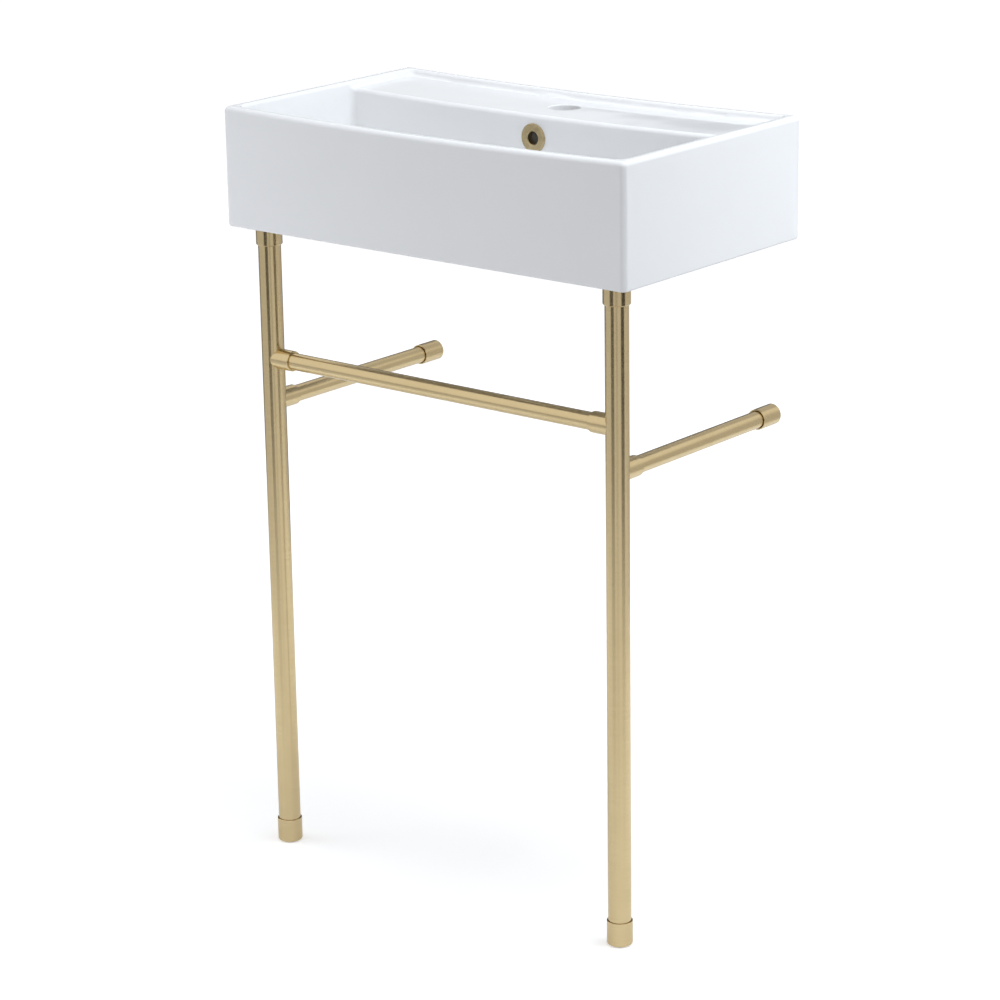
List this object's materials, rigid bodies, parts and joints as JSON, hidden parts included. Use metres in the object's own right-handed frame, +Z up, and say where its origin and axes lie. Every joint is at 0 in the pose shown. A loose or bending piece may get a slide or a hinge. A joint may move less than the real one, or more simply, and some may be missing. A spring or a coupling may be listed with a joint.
{
  "type": "console basin with legs",
  "caption": "Rectangular glazed console basin with a rear faucet deck, on two front tube legs with a crossbar and arms that brace it to the wall.",
  "frame": {"origin": "on the floor, under the middle of the basin's outline", "axes": "+X to the right of someone facing the front, +Y towards the wall, +Z up"},
  "size_m": [0.55, 0.312, 0.8658],
  "materials": {
    "ceramic": "white gloss glaze",
    "gold": "brushed champagne gold",
    "steel": "plain",
    "nylon": "moulded",
    "rubber": "matt"
  },
  "bodies": {
    "stand": {"basin": "ceramic", "overflow_ring": "gold", "front_crossbar": "gold", "socket_grub_screws": "steel", "stub_grub_screws": "steel", "left_anchor_bush": "nylon", "left_top_washer": "rubber", "left_top_socket": "gold", "left_socket_bolt": "steel", "left_leg_tube": "gold", "left_crossbar_stub": "gold", "left_arm_stub": "gold", "left_side_arm": "gold", "left_foot_plug": "steel", "right_anchor_bush": "nylon", "right_top_washer": "rubber", "right_top_socket": "gold", "right_socket_bolt": "steel", "right_leg_tube": "gold", "right_crossbar_stub": "gold", "right_arm_stub": "gold", "right_side_arm": "gold", "right_foot_plug": "steel"},
    "left_glide": {"left_foot_pad": "nylon"},
    "left_foot": {"left_foot_cup": "gold", "left_foot_stud": "steel"},
    "left_wall_end": {"left_wall_cup": "gold", "left_grip_ring": "rubber"},
    "right_glide": {"right_foot_pad": "nylon"},
    "right_foot": {"right_foot_cup": "gold", "right_foot_stud": "steel"},
    "right_wall_end": {"right_wall_cup": "gold", "right_grip_ring": "rubber"}
  },
  "joints": [
    {"name": "left_foot_lift", "type": "slide", "parent": "stand", "child": "left_glide", "axis": [0, 0, 1], "range_m": [0, 0.012]},
    {"name": "left_foot_turn", "type": "hinge", "parent": "left_glide", "child": "left_foot", "pos_m": [-0.2413, -0.1248, 0.0025], "axis": [0, 0, 1], "range_deg": [0, 2880]},
    {"name": "left_wall_cup_slide", "type": "slide", "parent": "stand", "child": "left_wall_end", "axis": [0, 1, 0], "range_m": [-0.008, 0.01]},
    {"name": "right_foot_lift", "type": "slide", "parent": "stand", "child": "right_glide", "axis": [0, 0, 1], "range_m": [0, 0.012]},
    {"name": "right_foot_turn", "type": "hinge", "parent": "right_glide", "child": "right_foot", "pos_m": [0.2413, -0.1248, 0.0025], "axis": [0, 0, 1], "range_deg": [0, 2880]},
    {"name": "right_wall_cup_slide", "type": "slide", "parent": "stand", "child": "right_wall_end", "axis": [0, 1, 0], "range_m": [-0.008, 0.01]}
  ],
  "couplings": [
    {"joint": "left_foot_turn", "follows": "left_foot_lift", "rad_per_m": 4188.8},
    {"joint": "right_foot_turn", "follows": "right_foot_lift", "rad_per_m": 4188.8}
  ]
}
